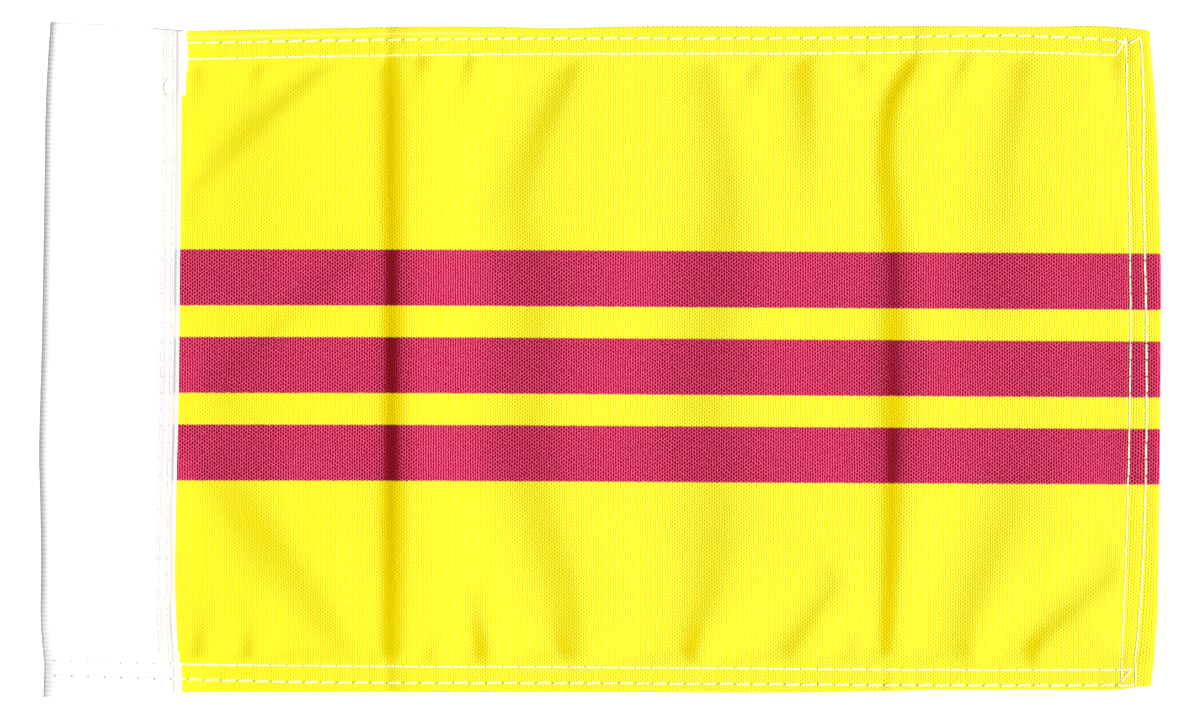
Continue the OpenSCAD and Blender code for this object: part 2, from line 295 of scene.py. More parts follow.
def makePanel():
    half, flyX, width = outline["halfHeight"], outline["flyX"], outline["hemWidth"]
    step = outline["pitch"] / 3
    allowance = hemLines()
    roll = outline["hemRoll"]
    near = [roll, 0.9, 1.5, 2.1, 2.6, 3.1, 3.8, 4.9, 5.6, 6.1, 6.6, 7.6, 8.6, 9.8]
    # lines along the length: the tucked hoist edge, the field, then the fly hem
    fieldX = list(np.arange(outline["hoistX"], flyX - 11.0, step))
    fieldX += [x + step / 2 for x in fieldX if -55 < x < -44 or 58 < x < 72]  # closer at the creases
    fieldX.sort()
    alongX = [(x, x, 0.0, 0, 0.0) for x in fieldX]
    flyNear = [roll, 1.0, 1.8, 2.6, 3.3, 4.0, 5.0, 6.1, 6.8, 7.5, 8.6, 9.8]
    alongX += [(flyX - d, flyX - d, 0.0, 0, 0.0) for d in reversed(flyNear)]
    alongX += [(flyX - roll + s, flyX - d, drop, layer, share) for s, d, drop, layer, share in allowance]
    # lines across the height: a hem, the field and a hem
    fieldY = np.linspace(-(half - 11.0), half - 11.0, round(2 * (half - 11.0) / step) + 1)
    top = [(half - d, half - d, 0.0, 0) for d in reversed(near)]
    top += [(half - roll + s, half - d, drop, layer) for s, d, drop, layer, share in allowance]
    bottom = [(-f, -y, drop, layer) for f, y, drop, layer in reversed(top)]
    acrossY = bottom + [(y, y, 0.0, 0) for y in fieldY] + top
    flatX, nominalX, dropX, layerX, shareX = (np.array(c, float)[:, None] for c in zip(*alongX))
    flatY, nominalY, dropY, layerY = (np.array(c, float)[None, :] for c in zip(*acrossY))
    ones = np.ones((len(alongX), len(acrossY)))
    nx, ny = nominalX * ones, nominalY * ones
    # the real edges and rows wander a little from the straight ones
    inTop, inBottom, inFly = half - ny, half + ny, flyX - nx
    x = nx.copy()
    y = ny.copy()
    reach = outline["hemReach"]
    marks = [0, outline["outerRow"], outline["innerRow"], width, reach]
    for i in range(len(alongX)):
        place = min(alongX[i][1], 126.0)
        outer, inner = topOuterRow(place), topInnerRow(place)
        topMarks = [topEdge(place), outer, inner, inner - 1.5, half - reach]
        outer, inner = bottomOuterRow(place), bottomInnerRow(place)
        lowMarks = [bottomEdge(place), outer, inner, inner + 1.5, reach - half]
        y[i] = np.where(inTop[i] < reach, np.interp(inTop[i], marks, topMarks), y[i])
        y[i] = np.where(inBottom[i] < reach, np.interp(inBottom[i], marks, lowMarks), y[i])
    reach = outline["flyReach"]
    marks = [0, outline["flyOuterRow"], outline["flyInnerRow"], 8.4, reach]
    for j in range(len(acrossY)):
        place = acrossY[j][1]
        outer, inner = flyOuterRow(place), flyInnerRow(place)
        flyMarks = [flyEdge(place), outer, inner, inner - 1.6, flyX - reach]
        x[:, j] = np.where(inFly[:, j] < reach, np.interp(inFly[:, j], marks, flyMarks), x[:, j])
    # under layers of the top and bottom hems stop inside the fly's roll
    x = np.where(layerY * ones > 0, np.minimum(x, flyEdge(y) - 0.5), x)
    # round the two fly corners
    radius = outline["cornerRadius"]
    for edge, side in ((topEdge, 1), (bottomEdge, -1)):
        dx, dy = radius - (flyEdge(y) - x), radius - side * (edge(x) - y)
        far = np.hypot(dx, dy)
        beyond = (dx > 0) & (dy > 0) & (far > radius)
        pull = np.where(beyond, radius / np.maximum(far, 1e-6), 1.0)
        x, y = x - dx * (1 - pull) * beyond, y - side * dy * (1 - pull) * beyond
    fromEnds = np.minimum(topEdge(x) - y, y - bottomEdge(x))
    corner = (1 - ease(fromEnds, 7.2, 9.2)) * (1 - ease(flyEdge(y) - x, 3.0, 13.0))
    under = np.maximum(dropX, dropY * ones) > 0.31
    height = np.where(under, clothTop(x, y, False), clothTop(x, y))
    z = height - dropY * ones - dropX * ones - outline["cornerBulk"] * corner * shareX * ones
    z = np.maximum(z, outline["lift"])
    places = np.stack([x, y, z], axis=2)
    # the printed stripes drift down a little towards the fly
    drift = smoothLine([(-104, 0.1), (-40, 0.0), (40, -0.5), (129, -1.0)])(nx) * (1 - (ny / half) ** 2)
    flat = np.stack([flatX * ones, flatY * ones - drift, z], axis=2)
    cut = (layerX * ones > 0) & (layerY * ones > 0)
    edge = np.zeros_like(cut)
    edge[1:, :] |= cut[1:, :]
    panel = clothPiece("flag_cloth", places, flat, edge)
    giveThickness(panel, outline["clothThickness"])
    return panel


panel = makePanel()
print("flag cloth laid:", len(panel.data.polygons), "faces")

sleeve = {
    "halfLength": 77.45,
    "pocketY": -67.5,
    "closing": 23.0,
    "closedHeight": 1.2,
    "middleHeight": 7.3,
    "mouthHeight": 8.0,
    "tuck": 6.3,
    "peek": 0.8,
    "foldRadius": 0.35,
    "heelRadius": 2.6,
    "mouthTurn": 15.5,
    "closedTurn": 9.35,
    "shoulder": (0.45, 0.65, 1.4),  # drop, more when open, reach
    "thickness": 0.27,
    "edgeRow": 1.0,
    "hoistRow": 3.1,
    "seamWidth": 5.2,
    "seamLines": (0.35, 0.7, 1.0, 1.4, 2.0, 2.7, 3.1, 3.5, 4.2, 5.2),
    "shoulderLines": (3.4, 2.6, 2.0, 1.5, 1.1, 0.75, 0.45, 0.2, 0.0),
    "backPly": 0.15,  # heights of the plies above the lowest cloth
    "backTuck": 0.45,
    "frontTuck": 1.05,
    "frontPly": 1.42,
    "endBulk": 0.6,
    "turnInset": 0.28,
    "crown": 0.05,
}
sleeveFold = smoothLine([
    (-77.4, -127.65), (-73.3, -127.5), (-69.9, -127.4), (-66.5, -127.75), (-63, -128.05), (-45, -127.95),
    (-32, -128.15), (-21.8, -128.42), (-11.5, -128.2), (2, -127.82), (16, -127.54), (30, -127.3),
    (43.5, -127.08), (57, -126.88), (71, -126.2), (77.4, -125.75),
])
# how far the turned-in ends look out past the front ply
endPeek = smoothLine([
    (-76, 1.4), (-74.5, 1.42), (-72, 1.55), (-70, 1.1), (-67.8, 1.3), (61.9, 1.67), (64.2, 1.83),
    (66.5, 1.75), (68.8, 2.2), (71, 2.25), (73.3, 2.1), (77, 1.8),
])
mouthLine = smoothLine([(-128, 77.4), (-123, 77.0), (-111, 76.6), (-98, 75.6), (-94, 75.3)])
closedLine = smoothLine([(-128, -77.3), (-120, -77.0), (-98, -76.3), (-94, -76.1)])


def sleeveHeight(y):
    # outer height of the folded tube, between the middles of its plies
    opened = ease(y, sleeve["pocketY"], sleeve["pocketY"] + sleeve["closing"])
    height = sleeve["closedHeight"] + (sleeve["middleHeight"] - sleeve["closedHeight"]) * opened
    return height + (sleeve["mouthHeight"] - sleeve["middleHeight"]) * ease(y, 0, sleeve["halfLength"])


def sleeveSection(y, turned):
    # x and z round the strip at one y, from the turned-in edge of the front ply to that of the back ply
    lift = outline["lift"]
    edge = float(sleeveEdge(y))
    ends = float(max(ease(y, 66.5, 69.5), 1 - ease(y, -69.5, -66.5)))
    bulk = sleeve["endBulk"] * ends
    inset = sleeve["turnInset"] if turned else 0.0
    low, lowIn = lift + sleeve["backPly"] + inset * 0.9, lift + sleeve["backTuck"]
    highIn, high = lift + sleeve["frontTuck"] + bulk, lift + sleeve["frontPly"] + bulk - inset * 0.8
    atEnd = turned or abs(y) > sleeve["halfLength"] - 0.5
    peek = float(endPeek(y)) if atEnd else sleeve["peek"]
    strip = highIn + (0.06 if turned else 0.14)
    section = []
    for t in np.linspace(0, 1, 6):
        section.append((edge - sleeve["tuck"] + t * (sleeve["tuck"] + peek - 0.1), highIn, 0))
    for turn in (-45, 0, 45):
        a = math.radians(turn)
        section.append((edge + peek - 0.1 + 0.1 * math.cos(a), (strip + highIn) / 2 + 0.1 * math.sin(a), 0))
    section.append((edge + peek - 0.15, strip, 0))
    section.append((edge + peek * 0.45, strip, 0))
    if turned:
        section.append((edge + 0.12, strip, 0))
        section.append((edge - 0.05, strip, 0))
    else:
        section.append((edge + 0.14, strip - 0.05, 0))
        section.append((edge - 0.02, high - 0.05, 0))
    for inward in sleeve["seamLines"]:
        section.append((edge - inward, high, 1))
    # the sloping front ply, up to the fold
    height = float(sleeveHeight(y)) - inset * 1.8
    opened = min(1.0, max(0.0, (height - sleeve["closedHeight"]) / 4))
    drop = sleeve["shoulder"][0] + sleeve["shoulder"][1] * opened
    radius, heel = sleeve["foldRadius"], min(sleeve["heelRadius"], 0.3 * height)
    foldX = float(sleeveFold(y)) + inset * 0.9
    fromX, fromZ = edge - sleeve["seamWidth"], high
    # the ply rises to the shoulder, then rounds over it and down
    start = math.radians(120)
    toX = foldX + radius + radius * math.cos(start)
    toZ = low + height - drop
    reach = fromX - toX
    crown = sleeve["crown"] * (height - sleeve["closedHeight"])
    beyond = [reach * k / 10 for k in range(9, 1, -1)] + list(sleeve["shoulderLines"])
    for d in beyond:
        t = 1 - d / reach
        rise = fromZ + (toZ + drop - fromZ) * t - drop * math.exp(-d / sleeve["shoulder"][2])
        section.append((toX + d, rise + crown * math.sin(math.pi * t), 0))
    for t in np.linspace(0, 1, 6)[1:]:
        a = start + (math.pi - start) * t
        z = toZ + radius * (math.sin(a) - math.sin(start))
        section.append((foldX + radius + radius * math.cos(a), z, 0))
    top, bottom = section[-1][1], low + heel
    for t in (0.25, 0.5, 0.75):
        section.append((foldX, top + (bottom - top) * t, 0))
    for t in np.linspace(0, 1, 8):
        a = math.pi * (1 + t / 2)
        section.append((foldX + heel + heel * math.cos(a), bottom + heel * math.sin(a), 0))
    for t in np.linspace(0, 1, 12)[1:-1]:
        section.append((foldX + heel + (edge - sleeve["seamWidth"] - foldX - heel) * t, low, 0))
    for inward in reversed(sleeve["seamLines"]):
        section.append((edge - inward, low, -1))
    for turn in (-60, 0, 60):
        a = math.radians(turn)
        middle = (low + lowIn) / 2
        section.append((edge - 0.2 + 0.15 * math.cos(a), middle + 0.15 * math.sin(a), 0))
    for t in np.linspace(0, 1, 6):
        section.append((edge - 0.25 - t * (sleeve["tuck"] - 0.25), lowIn, 0))
    return np.array(section)


def makeSleeve():
    half, step = sleeve["halfLength"], outline["pitch"] / 3
    inner = [(-half - d, -half + d, True) for d in np.linspace(sleeve["closedTurn"], 1.0, 6)]
    evenly = list(np.linspace(-half, half, round(2 * half / step) + 1))
    # a close row at each end, nearer at the stitched one, keeps the turned edges from blurring
    evenly = evenly[:1] + [-half + 0.12] + evenly[1:-1] + [half - 0.4] + evenly[-1:]
    outer = [(y, y, False) for y in evenly]
    mouth = [(half + d, half - d, True) for d in np.linspace(0.8, sleeve["mouthTurn"], 10)]
    rows = inner + outer + mouth
    sections = [sleeveSection(y, turned) for flatY, y, turned in rows]
    middle = sections[len(rows) // 2]
    run = np.concatenate([[0], np.cumsum(np.hypot(np.diff(middle[:, 0]), np.diff(middle[:, 1])))])
    places = np.zeros((len(run), len(rows), 3))
    flat = np.zeros((len(run), len(rows), 3))
    beat = 2 * math.pi / outline["pitch"]
    for j, (flatY, y, turned) in enumerate(rows):
        x, z, face = sections[j].T
        edge = float(sleeveEdge(y))
        # both ends are cut a little out of square
        wayUp = float(ease(y, 40, half))
        wayDown = 1 - float(ease(y, -half, -40))
        slant = (mouthLine(x) - half) * wayUp + (closedLine(x) + half) * wayDown
        for row in (sleeve["edgeRow"], sleeve["hoistRow"]):
            pulled = np.exp(-(((edge - x - row) / 0.45) ** 2)) * (0.05 + 0.03 * math.cos(beat * y))
            z = z - pulled * face * (0 if turned else 1)
        if not turned:
            onTop = (z > outline["lift"] + 1.0) & (x < edge)
            for line in (bottomOuterRow, bottomInnerRow):
                away = y - line(x)
                z = z - np.exp(-((away / 0.7) ** 2)) * 0.07 * onTop
        soft = 0.10 * np.sin(y * 0.23 + x * 0.11) * ease(z, 2.0, 5.0)
        places[:, j, 0] = x
        places[:, j, 1] = y + slant
        places[:, j, 2] = z + soft
        flat[:, j, 0] = run
        flat[:, j, 1] = flatY
    piece = clothPiece("pole_sleeve_cloth", places, flat)
    giveThickness(piece, sleeve["thickness"])
    width = run[-1]
    print("sleeve strip is", round(width, 1), "by", round(rows[-1][0] - rows[0][0], 1), "mm flat")
    return piece


sleeveCloth = makeSleeve()
print("sleeve folded:", len(sleeveCloth.data.polygons), "faces")

stitching = {
    "needleWidth": 0.5,
    "needleRise": 0.15,
    "bobbinWidth": 0.4,
    "bobbinRise": 0.14,
    "dip": 0.06,
    "outerGap": 0.2,
    "innerGap": -0.05,
    "flyGap": 0.02,
    "slant": 0.15,
    "outerShare": 0.95,
    "innerShare": 0.82,
    "hemFlatter": 0.7,
    "sleeveShare": 0.8,
    "sleeveFlatter": 0.35,
    "uprightFlatter": 0.32,
    "probes": (0.02, 0.25, 0.5, 0.75, 0.98),
    "seamFrom": -68.5,
    "seamTo": 76.2,
    "loopX": -97.6,
    "loopY": 62.4,
    "loopRadius": 2.4,
    "loopLift": 0.06,
    "loopShare": 0.11,
    "loopStart": -35,
    "loopSweep": -115,
}


def surfaceFinder(pieces):
    # rays on the finished cloth, from above and from below
    bpy.context.view_layer.update()
    graph = bpy.context.evaluated_depsgraph_get()
    trees = [BVHTree.FromObject(piece, graph) for piece in pieces]

    def find(x, y, fromAbove):
        start = Vector((x * mm, y * mm, 0.05 if fromAbove else -0.02))
        way = Vector((0, 0, -1 if fromAbove else 1))
        hits = [tree.ray_cast(start, way)[0] for tree in trees]
        heights = [hit.z / mm for hit in hits if hit is not None]
        if not heights:
            return 0.5
        return max(heights) if fromAbove else min(heights)

    return find


surface = surfaceFinder([panel, sleeveCloth])


def addStitch(bm, uvLayer, start, end, fromAbove, width, rise, bend=0.0):
    # one length of thread from hole to hole, as a bead that dips into the cloth at both ends
    (x1, y1), (x2, y2) = start, end
    length = math.hypot(x2 - x1, y2 - y1)
    dx, dy = (x2 - x1) / length, (y2 - y1) / length
    up = 1 if fromAbove else -1
    probes = stitching["probes"]
    levels = [surface(x1 + (x2 - x1) * t, y1 + (y2 - y1) * t, fromAbove) for t in probes]
    verts = bmesh.ops.create_grid(bm, x_segments=9, y_segments=7, size=1.0)["verts"]
    for v in verts:
        t, turn = 0.5 + 0.5 * math.sin(v.co.x * math.pi / 2), v.co.y * math.pi
        for loop in v.link_loops:
            loop[uvLayer].uv = (t * length * mm, (v.co.y + 1) / 2)
        lean = min(1.0, 20 * min(t, 1 - t)) if 0.001 < t < 0.999 else 0.0
        girth = math.sqrt(lean) * width / 2
        level = np.interp(t, probes, levels)
        centre = level + up * (rise * 0.35 - stitching["dip"] * (1 - lean))
        side = girth * math.cos(turn) + bend * math.sin(math.pi * t)
        z = centre + up * girth * math.sin(turn) * rise / width * 2
        if not fromAbove:
            z = max(z, 0.01)
        v.co = Vector((x1 + (x2 - x1) * t - dy * side, y1 + (y2 - y1) * t + dx * side, z)) * mm
    bmesh.ops.remove_doubles(bm, verts=verts, dist=0.000002)


def sewRow(name, runs, fromAbove, share=1.0, gap=0.12, loops=(), flatter=1.0):
    # every stitch of one thread; runs are lists of holes
    bm = bmesh.new()
    uvLayer = bm.loops.layers.uv.new("thread")
    width = stitching["needleWidth"] if fromAbove else stitching["bobbinWidth"]
    rise = stitching["needleRise"] if fromAbove else stitching["bobbinRise"]
    for holes in runs:
        for k in range(len(holes) - 1):
            swing = chance.uniform(-0.12, 0.12)
            start, end = holes[k], holes[k + 1]
            length = math.hypot(end[0] - start[0], end[1] - start[1])
            dx, dy = (end[0] - start[0]) / length, (end[1] - start[1]) / length
            # the twist of the thread sets each stitch a little aslant
            lean = stitching["slant"] * gap / stitching["outerGap"] * (1 if dx + dy > 0 else -1)
            lean = lean * (1 if abs(dx) > 0.9 else 0.3)
            clear = gap if abs(dx) > 0.9 or not fromAbove else min(gap, stitching["flyGap"])
            a = (start[0] + dx * clear + dy * lean / 2, start[1] + dy * clear - abs(dx) * lean / 2)
            b = (end[0] - dx * clear - dy * lean / 2, end[1] - dy * clear + abs(dx) * lean / 2)
            thick = width * share * chance.uniform(0.9, 1.12)
            low = 1.0 if abs(dx) > 0.9 or not fromAbove else stitching["uprightFlatter"]
            addStitch(bm, uvLayer, a, b, fromAbove, thick, rise * share * flatter * low, swing * 0.6)
    loopStart = math.radians(stitching["loopStart"])
    for x, y, radius in loops:
        level = surface(x, y, True) + stitching["loopLift"]
        thin = width * stitching["loopShare"] * mm
        ring = bmesh.ops.create_circle(bm, segments=6, radius=thin)["verts"]
        bmesh.ops.rotate(bm, verts=ring, cent=(0, 0, 0), matrix=Matrix.Rotation(math.pi / 2, 3, "Y"))
        bmesh.ops.translate(bm, verts=ring, vec=Vector((0, -radius, 0)) * mm)
        bmesh.ops.rotate(bm, verts=ring, cent=(0, 0, 0), matrix=Matrix.Rotation(loopStart, 3, "Z"))
        bmesh.ops.translate(bm, verts=ring, vec=Vector((x, y, level)) * mm)
        edges = list({e for v in ring for e in v.link_edges})
        bmesh.ops.spin(
            bm, geom=ring + edges, cent=Vector((x, y, level)) * mm, axis=(0, 0, 1),
            angle=math.radians(stitching["loopSweep"]), steps=10,
        )
    bmesh.ops.recalc_face_normals(bm, faces=bm.faces)
    for face in bm.faces:
        face.smooth = True
    mesh = bpy.data.meshes.new(name)
    bm.to_mesh(mesh)
    bm.free()
    piece = bpy.data.objects.new(name, mesh)
    bpy.context.collection.objects.link(piece)
    return piece


def holesAlong(line, low, high, upright, backwards=False):
    pitch = outline["pitch"]
    marks = [k * pitch for k in range(math.ceil(low / pitch), math.floor(high / pitch) + 1)]
    if backwards:
        marks.reverse()
    return [(float(line(m)), m) if upright else (m, float(line(m))) for m in marks]


outerHoles = holesAlong(bottomOuterRow, -126.8, 119, False)
outerHoles += [(122.4, -74.5)] + holesAlong(flyOuterRow, -71, 69, True) + [(123.9, 71.2), (123.5, 73.75)]
outerHoles += [(120.7, 72.5)] + holesAlong(topOuterRow, -95.1, 118, False, True)
innerHoles = holesAlong(bottomInnerRow, -126.8, 118.5, False)
innerHoles += [(121.6, -70.8), (119.2, -73.8)] + holesAlong(flyInnerRow, -71, 70.5, True)
innerHoles += [(120.2, 73.8), (118.0, 69.8)] + holesAlong(topInnerRow, -95.1, 115, False, True)
seamHoles = holesAlong(sleeveEdge, stitching["seamFrom"], stitching["seamTo"], True)
edgeHoles = [(x - sleeve["edgeRow"], y) for x, y in seamHoles]
hoistHoles = [(x - sleeve["hoistRow"], y) for x, y in seamHoles]
looseLoop = (stitching["loopX"], stitching["loopY"], stitching["loopRadius"])


def sewHem(name, holes, share, gap):
    return sewRow(name, [holes], True, stitching[share], stitching[gap], flatter=stitching["hemFlatter"])


def sewSleeve(name, holes, loops=()):
    share, flatter = stitching["sleeveShare"], stitching["sleeveFlatter"]
    return sewRow(name, [holes], True, share, loops=loops, flatter=flatter)


threads = {
    "hem_outer_needle_thread": sewHem("hem_outer_needle_stitches", outerHoles, "outerShare", "outerGap"),
    "hem_inner_needle_thread": sewHem("hem_inner_needle_stitches", innerHoles, "innerShare", "innerGap"),
    "hem_outer_bobbin_thread": sewRow("hem_outer_bobbin_stitches", [outerHoles], False),
    "hem_inner_bobbin_thread": sewRow("hem_inner_bobbin_stitches", [innerHoles], False),
    "sleeve_edge_needle_thread": sewSleeve("sleeve_edge_needle_stitches", edgeHoles),
    "sleeve_hoist_needle_thread": sewSleeve("sleeve_hoist_needle_stitches", hoistHoles, [looseLoop]),
    "sleeve_edge_bobbin_thread": sewRow("sleeve_edge_bobbin_stitches", [edgeHoles], False),
    "sleeve_hoist_bobbin_thread": sewRow("sleeve_hoist_bobbin_stitches", [hoistHoles], False),
}
print("stitches sewn:", sum(len(t.data.polygons) for t in threads.values()), "faces")


class Recipe:
    # a material's node tree, with short calls for the sums in it
    def __init__(self, name, roughness, sheen):
        self.material = bpy.data.materials.new(name)
        self.material.use_nodes = True
        self.tree = self.material.node_tree
        self.shader = self.tree.nodes["Principled BSDF"]
        self.shader.inputs["Roughness"].default_value = roughness
        self.shader.inputs["Sheen Weight"].default_value = sheen
        self.shader.inputs["Sheen Roughness"].default_value = 0.6
        self.shader.inputs["Specular IOR Level"].default_value = 0.05

    def plug(self, value, socket):
        if isinstance(value, bpy.types.NodeSocket):
            self.tree.links.new(value, socket)
        else:
            socket.default_value = value

    def sum(self, operation, *values):
        node = self.tree.nodes.new("ShaderNodeMath")
        node.operation = operation
        for value, socket in zip(values, node.inputs):
            self.plug(value, socket)
        return node.outputs[0]

    def flatPlace(self, layer):
        node = self.tree.nodes.new("ShaderNodeUVMap")
        node.uv_map = layer
        split = self.tree.nodes.new("ShaderNodeSeparateXYZ")
        self.tree.links.new(node.outputs[0], split.inputs[0])
        return node.outputs[0], split.outputs[0], split.outputs[1]

    def place(self):
        node = self.tree.nodes.new("ShaderNodeTexCoord")
        split = self.tree.nodes.new("ShaderNodeSeparateXYZ")
        self.tree.links.new(node.outputs["Object"], split.inputs[0])
        return node.outputs["Object"], split.outputs[0], split.outputs[1], split.outputs[2]

    def facing(self):
        # how far the cloth is turned towards +X, in its own axes
        node = self.tree.nodes.new("ShaderNodeTexCoord")
        split = self.tree.nodes.new("ShaderNodeSeparateXYZ")
        self.tree.links.new(node.outputs["Normal"], split.inputs[0])
        return split.outputs[0]

    def followed(self, value, line):
        # the same smooth line as the geometry follows, as a curve of the value (in metres)
        node = self.tree.nodes.new("ShaderNodeFloatCurve")
        low, high = -80.0, 80.0
        curve = node.mapping.curves[0]
        marks = np.linspace(low, high, 13)
        levels = [float(line(m)) for m in marks]
        least, most = min(levels), max(levels)
        for k, (mark, level) in enumerate(zip(marks, levels)):
            spot = ((mark - low) / (high - low), (level - least) / (most - least))
            if k == 0:
                curve.points[0].location = spot
            elif k == len(marks) - 1:
                curve.points[-1].location = spot
            else:
                curve.points.new(*spot)
        node.mapping.update()
        self.plug(self.ramp(value, low * mm, high * mm, smooth=False), node.inputs["Value"])
        raised = self.sum("MULTIPLY", node.outputs[0], (most - least) * mm)
        return self.sum("ADD", raised, least * mm)

    def noise(self, vector, scale, detail=2.0):
        node = self.tree.nodes.new("ShaderNodeTexNoise")
        self.tree.links.new(vector, node.inputs["Vector"])
        node.inputs["Scale"].default_value = scale
        node.inputs["Detail"].default_value = detail
        return node.outputs["Fac"]

    def ramp(self, value, low, high, fromValue=0.0, toValue=1.0, smooth=True):
        node = self.tree.nodes.new("ShaderNodeMapRange")
        node.interpolation_type = "SMOOTHSTEP" if smooth else "LINEAR"
        self.plug(value, node.inputs["Value"])
        node.inputs["From Min"].default_value = low
        node.inputs["From Max"].default_value = high
        node.inputs["To Min"].default_value = fromValue
        node.inputs["To Max"].default_value = toValue
        return node.outputs[0]

    def mix(self, share, first, second):
        node = self.tree.nodes.new("ShaderNodeMix")
        node.data_type = "RGBA"
        self.plug(share, node.inputs[0])
        for value, socket in ((first, node.inputs[6]), (second, node.inputs[7])):
            self.plug((*value, 1.0) if isinstance(value, tuple) else value, socket)
        return node.outputs[2]

    def finish(self, colour, bump=None, strength=0.3, distance=0.0001, roughness=None):
        self.plug(colour, self.shader.inputs["Base Color"])
        if bump is not None:
            node = self.tree.nodes.new("ShaderNodeBump")
            node.inputs["Strength"].default_value = strength
            node.inputs["Distance"].default_value = distance
            self.tree.links.new(bump, node.inputs["Height"])
            self.tree.links.new(node.outputs[0], self.shader.inputs["Normal"])
        if roughness is not None:
            self.plug(roughness, self.shader.inputs["Roughness"])
        return self.material


knit = {
    "column": 0.000564,
    "course": 0.00083,
    "stripePeriod": 0.02007,
    "stripeHalf": 0.00644,
    "stripeOffset": 0.0012,
    "yellow": (0.79, 0.715, 0.0),
    "paleYellow": (0.87, 0.82, 0.14),
    "deepYellow": (0.59, 0.53, 0.0),
    "shadedYellow": (1.0, 0.78, 0.0),
    "shadedCrimson": (0.27, 0.005, 0.015),
    "warmYellow": (0.78, 0.69, 0.0),
    "crimson": (0.55, 0.0, 0.045),
    "paleCrimson": (0.82, 0.21, 0.44),
    "deepCrimson": (0.06, 0.0, 0.0),
    "hemEdgeHighlight": (0.96, 0.86, 0.35),
    "needleHoleShade": (0.42, 0.30, 0.01),
    "stripeBlur": 0.0002,
    "stripesEnd": 0.0290,
    "hemEdgeHighlightV": 0.0748,
    "hemRowsV": (0.0736, 0.0701, -0.0736, -0.0701),
    "flyRowsU": (0.1251, 0.1216),
    "stitchPitch": 0.0038,
}


def needleHoles(recipe, u, v, rows, pitch, upright):
    # small holes where the needle went through, as a mask that the callers darken with painted shade; rows
    # are the flat places of the rows
    along, across = (v, u) if upright else (u, v)
    near = recipe.sum("ABSOLUTE", recipe.sum("WRAP", along, pitch / 2, -pitch / 2))
    total = None
    for row in rows:
        beside = recipe.sum("ABSOLUTE", recipe.sum("SUBTRACT", across, row))
        squares = recipe.sum("ADD", recipe.sum("POWER", near, 2.0), recipe.sum("POWER", beside, 2.0))
        far = recipe.sum("SQRT", squares)
        spot = recipe.ramp(far, 0.0001, 0.0004, 1.0, 0.0)
        total = spot if total is None else recipe.sum("MAXIMUM", total, spot)
    return total


def paleYarn(recipe, lattice, wale, uneven, latticeShare, waleShare, high):
    # the yarn that stands out between the holes, from the lattice of holes and the ribs
    net, ribs = recipe.sum("MULTIPLY", lattice, latticeShare), recipe.sum("MULTIPLY", wale, waleShare)
    return recipe.ramp(recipe.sum("ADD", recipe.sum("ADD", net, ribs), uneven), -1.1, high, 1.0, 0.0)


